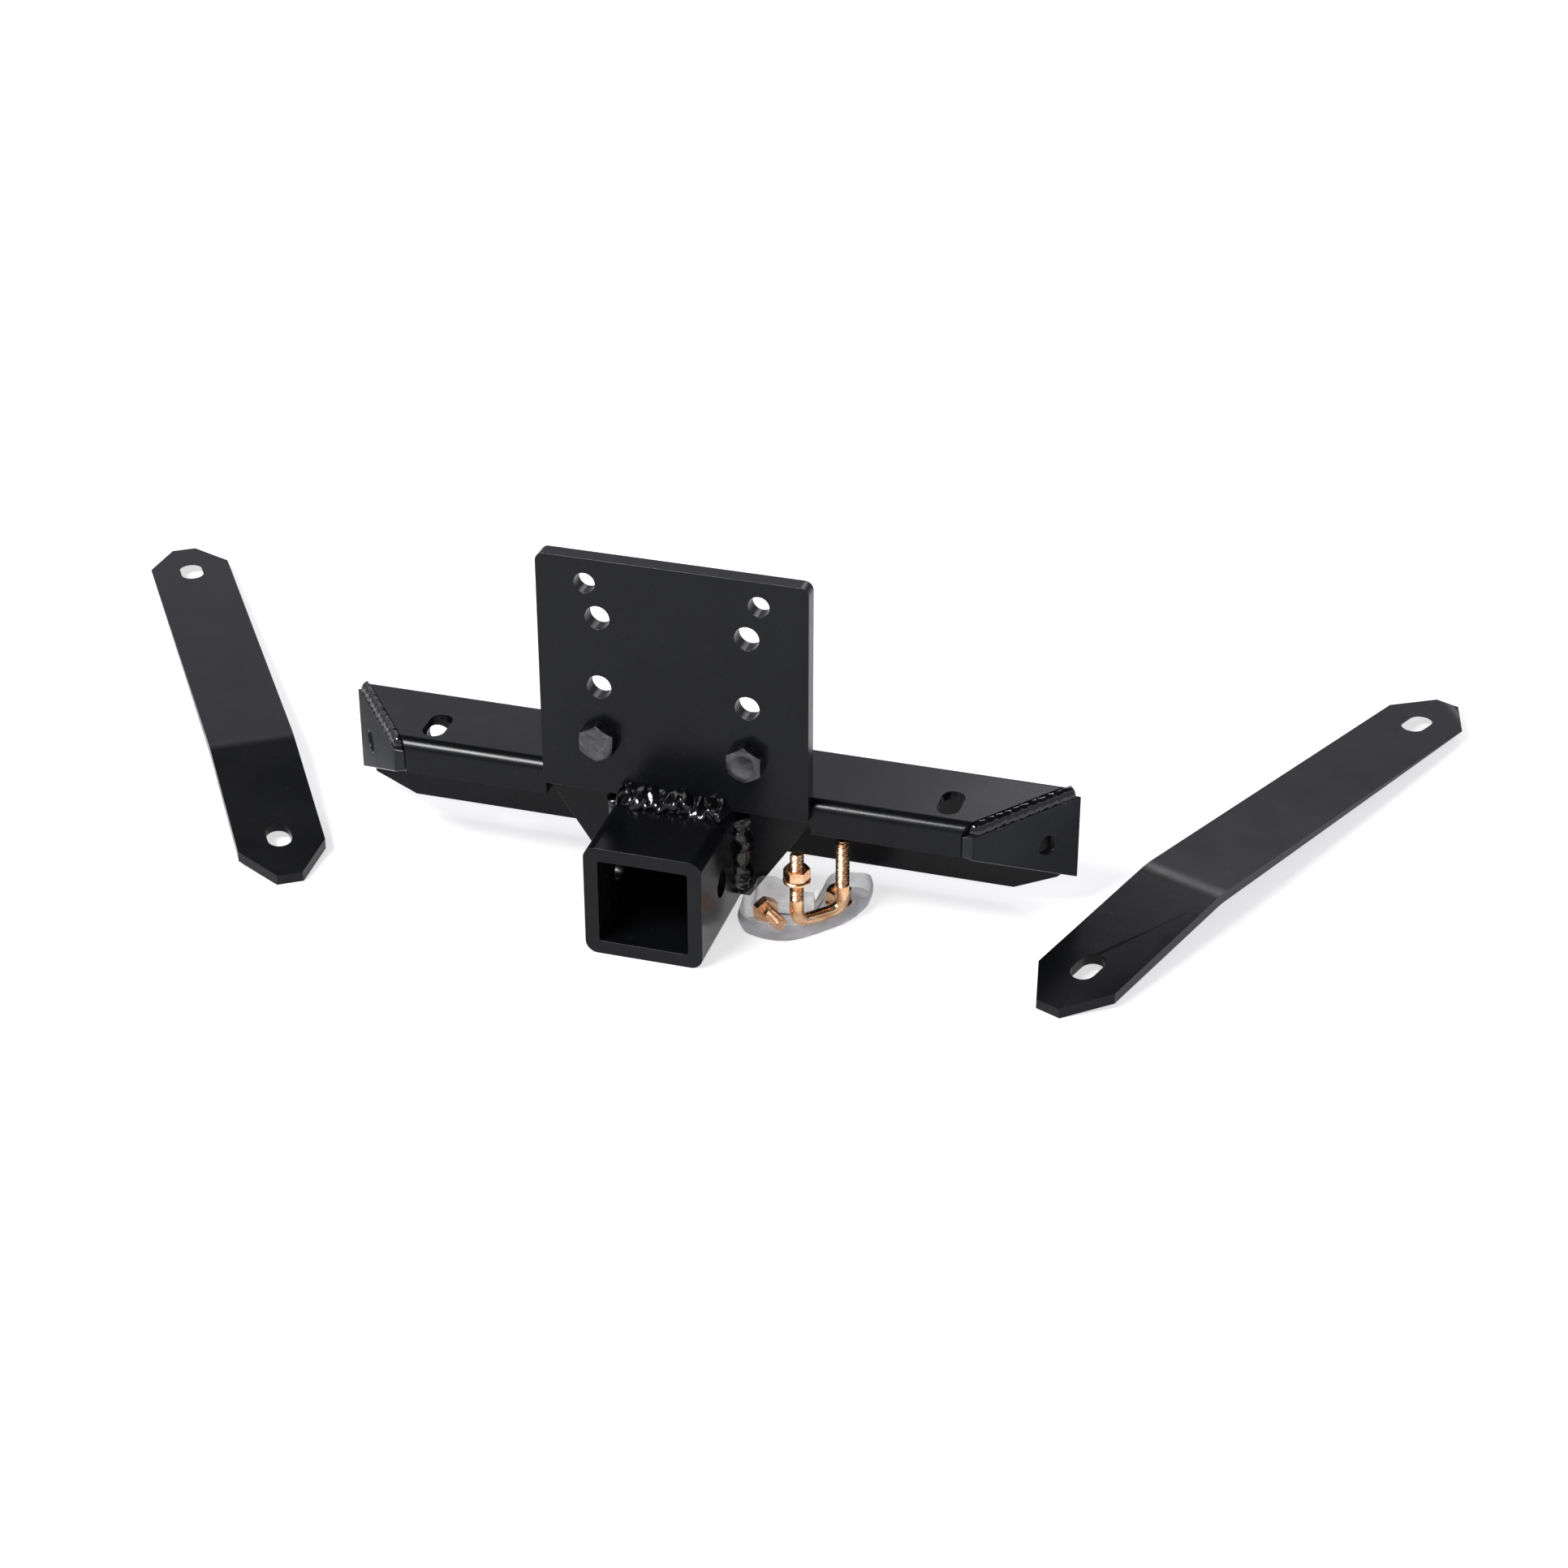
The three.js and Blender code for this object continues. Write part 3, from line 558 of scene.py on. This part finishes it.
def u_bolt():
    """A bent wire with a thread on each leg. Gives the foot of its first leg, and the way to the other."""
    heading = math.radians(U_BOLT["heading"])
    across = Vector((math.cos(heading), math.sin(heading), 0))
    side = Vector((-math.sin(heading), math.cos(heading), 0))
    origin = Vector((U_BOLT["x"], U_BOLT["y"], 0))
    path = u_bolt_path()
    half = SMALL["wire"] / 2
    rings, travelled = [], 0.0
    for k, (x, z) in enumerate(path):
        before, after = path[max(0, k - 1)], path[min(len(path) - 1, k + 1)]
        tangent = Vector((after[0] - before[0], after[1] - before[1])).normalized()
        outward = across * tangent.y + UP * -tangent.x
        travelled += math.dist(path[k - 1], path[k]) if k else 0.0
        blunt = max(0.0, 1 - (U_BOLT["height"] - z) / LEG_POINT_LENGTH) * LEG_POINT_DEPTH
        centre = origin + across * x + Vector((0, 0, z))
        ring = []
        for i in range(WIRE_AROUND):
            turn = 2 * math.pi * i / WIRE_AROUND
            r = half
            if z > U_BOLT["thread_from"]:
                grown = min(1.0, (z - U_BOLT["thread_from"]) / THREAD_RUN_IN)
                r = r * (1 - grown) + thread_radius(SMALL, travelled, turn) * grown
            r = min(r, half - blunt)
            ring.append((centre + (outward * math.cos(turn) + side * math.sin(turn)) * r) * MM)
        rings.append(ring)
    bm = bmesh.new()
    add_rings(bm, rings)
    new_piece("u_bolt_threaded", bm, [ZINC], "u_bolt")
    return origin - across * U_BOLT["span"] / 2, across


leg, across = u_bolt()
washer("u_bolt_washer", axes((leg.x, leg.y, U_BOLT["nut"]), UP, across), SMALL_WASHER, PLATED)
nut_z = U_BOLT["nut"] + SMALL_WASHER["thickness"] / 2 + GAP
nut("u_bolt_nut", axes((leg.x, leg.y, nut_z), UP, (-across.y, across.x, 0)), SMALL, PLATED)

heading, roll = math.radians(SPARE_BOLT["heading"]), math.radians(SPARE_BOLT["roll"])
direction = Vector((math.cos(heading), math.sin(heading), 0))
sideways = Vector((-direction.y, direction.x, 0))
corner = sideways * math.cos(roll) + UP * math.sin(roll)
bolt("spare_bolt", (SPARE_BOLT["x"], SPARE_BOLT["y"], BAG_FLOOR + SMALL["flats"] / 2), direction, corner,
     SMALL, PLATED)

washer_z = BAG_FLOOR + SMALL_WASHER["thickness"] / 2
nut_z = BAG_FLOOR + SMALL_WASHER["thickness"] + GAP
washer("spare_washer", axes((SPARE_NUT["x"], SPARE_NUT["y"], washer_z), UP, (0, 1, 0)), SMALL_WASHER,
       PLATED)
nut("spare_nut", axes((SPARE_NUT["x"], SPARE_NUT["y"], nut_z), UP, (0, 1, 0)), SMALL, PLATED)

# ---- Film bag ------------------------------------------------------------------------------------

CORNER_CUTS = 3
FILM_THICKNESS = 0.12
FILM_LOW = 0.25  # height of the film where it lies on the floor
RIM_HEIGHT, RIM_WANDER = 10, 3.0
HEAP = {"x": 50, "y": 6, "spread": 260, "height": 15}  # where the rim stands up beside the receiver
BELLY, BELLY_HEIGHT = 2.4, 9.0  # the film draws in under its belly
LEAN, LEAN_HEIGHT = 5.0, 50
FOLDS, FOLD_MEAN = 3.4, 0.42
# The film stays to the right of the tube, of its bead and of the bracket plate, or in front of the plate
TUBE_SIDE, BEAD_SIDE, BRACKET_SIDE, BRACKET_FRONT = 37.0, 42.8, 77.2, 8.1

# Direction, spacing and offset of each set of creases
CREASES = [(Vector((random.gauss(0, 1), random.gauss(0, 1), random.gauss(0, 1))).normalized(),
            random.uniform(9, 24), random.random()) for _ in range(9)]


def smooth_loop(points):
    """Cuts the corners of a closed outline, then spaces its points evenly."""
    loop = [Vector(p) for p in points]
    for _ in range(CORNER_CUTS):
        loop = [q for a, b in zip(loop, loop[1:] + loop[:1])
                for q in (a * 0.78 + b * 0.22, a * 0.22 + b * 0.78)]
    lengths = [0.0]
    for a, b in zip(loop, loop[1:] + loop[:1]):
        lengths.append(lengths[-1] + (b - a).length)
    even = []
    for k in range(BAG_AROUND):
        target = lengths[-1] * k / BAG_AROUND
        i = max(j for j in range(len(loop)) if lengths[j] <= target)
        share = (target - lengths[i]) / (lengths[i + 1] - lengths[i])
        even.append(loop[i].lerp(loop[(i + 1) % len(loop)], share))
    return even


def crumple(p):
    """Folds of stiff film: the mean of saw-tooth waves in fixed directions, from 0 to 1."""
    total = 0.0
    for direction, period, phase in CREASES:
        part = (p.dot(direction) / period + phase) % 1.0
        total += abs(part - 0.5) * 2
    return total / len(CREASES)


def keep_clear(q, p):
    """Moves q, a point of the film that hangs from p on the outline, out of the steel beside the bag."""
    if q.y > 8.0 and q.x < BRACKET_SIDE:
        if p.x > 60 and p.y > 8.6:
            q.x = BRACKET_SIDE
        if q.x < 77.0:
            q.y = min(q.y, BRACKET_FRONT)
    if q.y > 0.2 and q.x < 60:
        q.x = max(q.x, BEAD_SIDE)
    q.x = max(q.x, TUBE_SIDE)


def film_bag():
    """An open pouch of thin film round the hardware. Its rim is low, apart from the heap."""
    outline = smooth_loop(BAG_OUTLINE)
    centre = sum(outline, Vector((0, 0))) / len(outline)
    middle = Vector((centre.x, centre.y, 0)) * MM
    wall = []
    for row in range(BAG_ROWS + 1):
        up = row / BAG_ROWS
        ring = []
        for k, p in enumerate(outline):
            heap = math.exp(-((p.x - HEAP["x"]) ** 2 + (p.y - HEAP["y"]) ** 2) / HEAP["spread"])
            rim = RIM_HEIGHT + HEAP["height"] * heap + RIM_WANDER * noise.noise(Vector((k * 0.07, 2, 7)))
            z = FILM_LOW + (rim - FILM_LOW) * up ** 1.15
            inward = (centre - p).normalized()
            belly = BELLY * (1 - min(1.0, z / BELLY_HEIGHT)) ** 2
            lean = LEAN * (z / LEAN_HEIGHT) ** 1.4
            folded = crumple(Vector((p.x, p.y, z * 0.8))) - FOLD_MEAN
            folds = FOLDS * folded * min(1.0, 0.2 + z / 14)
            q = p + inward * max(0.15, 0.9 + belly + lean + folds)
            keep_clear(q, p)
            ring.append(Vector((q.x, q.y, z)) * MM)
        wall.append(ring)

    base = []
    for share in (0.08, 0.3, 0.55, 0.8):
        ring = []
        for q in wall[0]:
            height = (FILM_LOW + 0.35 * crumple(q * 2500)) * MM
            ring.append(middle + (Vector((q.x, q.y, 0)) - middle) * share + Vector((0, 0, height)))
        base.append(ring)
    bm = bmesh.new()
    made = add_rings(bm, base + wall, ends="open")
    cap(bm, made[0], Vector((centre.x * MM, centre.y * MM, 0.4 * MM)))
    piece = new_piece("hardware_bag_film", bm, [FILM], "hardware_bag")
    solid = piece.modifiers.new("film thickness", "SOLIDIFY")
    solid.thickness = FILM_THICKNESS * MM
    solid.offset = -1


film_bag()

# ---- Floor, world and lights ---------------------------------------------------------------------

FLOOR_RADIUS = 30
FLOOR_DROP = 0.0002  # it lies just under the pieces
FLOOR_TONES = [(0.3, (0.80, 0.80, 0.80)), (0.7, (0.82, 0.82, 0.82))]
FLOOR_GLOW = 0.62

floor_mesh = bpy.data.meshes.new("studio_floor")
bm = bmesh.new()
bmesh.ops.create_circle(bm, cap_ends=True, segments=96, radius=FLOOR_RADIUS)
bm.to_mesh(floor_mesh)
bm.free()
floor_object = bpy.data.objects.new("studio_floor", floor_mesh)
floor_object.location.z = -FLOOR_DROP
bpy.context.scene.collection.objects.link(floor_object)
floor_look = Material("studio_floor", Specular_IOR_Level=0.0, Emission_Strength=FLOOR_GLOW)
floor_look.shader.inputs["Emission Color"].default_value = (1, 1, 1, 1)
floor_look.wire(Base_Color=floor_look.ramp(floor_look.noise(2, 2), FLOOR_TONES))
floor_mesh.materials.append(floor_look.material)

# Radiance of the surroundings by height: a grey wall, a bright band above it, then a dark ceiling
BACKDROP = [(0.0, (0.60, 0.60, 0.64)), (0.34, (0.62, 0.62, 0.68)), (0.40, (0.52, 0.52, 0.57)),
            (0.45, (0.36, 0.36, 0.40)), (0.485, (1.42, 1.42, 1.58)), (0.56, (1.42, 1.42, 1.58)),
            (0.60, (0.6, 0.6, 0.65)), (0.68, (0.10, 0.10, 0.11)), (1.0, (0.05, 0.05, 0.055))]
world = bpy.data.worlds.new("studio")
bpy.context.scene.world = world
world.use_nodes = True
nodes, links = world.node_tree.nodes, world.node_tree.links
where = nodes.new("ShaderNodeTexCoord")
split = nodes.new("ShaderNodeSeparateXYZ")
shades = nodes.new("ShaderNodeValToRGB")
fill_ramp(shades.color_ramp.elements, BACKDROP)
links.new(where.outputs["Generated"], split.inputs[0])
links.new(split.outputs["Z"], shades.inputs["Fac"])
links.new(shades.outputs["Color"], nodes["Background"].inputs["Color"])


def aimed(thing, place, target):
    """Puts a lamp or a camera at a place, looking at a target, and adds it to the scene."""
    thing.location = place
    thing.rotation_euler = (Vector(target) - Vector(place)).to_track_quat("-Z", "Y").to_euler()
    bpy.context.scene.collection.objects.link(thing)
    return thing


def softbox(name, place, target, size, power):
    data = bpy.data.lights.new(name, "AREA")
    data.shape = "RECTANGLE"
    data.size, data.size_y = size
    data.energy = power
    return aimed(bpy.data.objects.new(name, data), place, target)


FRONT_TARGET = (-0.05, 0, 0.08)
softbox("key_strip", (-0.72, -1.02, 1.62), FRONT_TARGET, size=(0.85, 0.42), power=26)
# It shows in the gloss of the folds, beads and plating, and adds no light to matt surfaces
glint = softbox("glint_strip", (-0.74, -1.04, 1.66), FRONT_TARGET, size=(1.0, 0.62), power=75)
glint.visible_diffuse = False
softbox("rear_rim", (0.3, 1.9, 1.5), (0, 0, 0.1), size=(1.2, 0.3), power=7)

# ---- Camera --------------------------------------------------------------------------------------

CAMERA_PLACE = (0.525, -1.557, 1.0555)
CAMERA_TARGET = (0.0626, 0, 0.0897)
LENS, SENSOR = 80.3, 36

camera_data = bpy.data.cameras.new("camera")
camera_data.sensor_width = SENSOR
camera_data.lens = LENS
camera = aimed(bpy.data.objects.new("camera", camera_data), CAMERA_PLACE, CAMERA_TARGET)
bpy.context.scene.camera = camera
bpy.context.scene.view_settings.view_transform = "Standard"
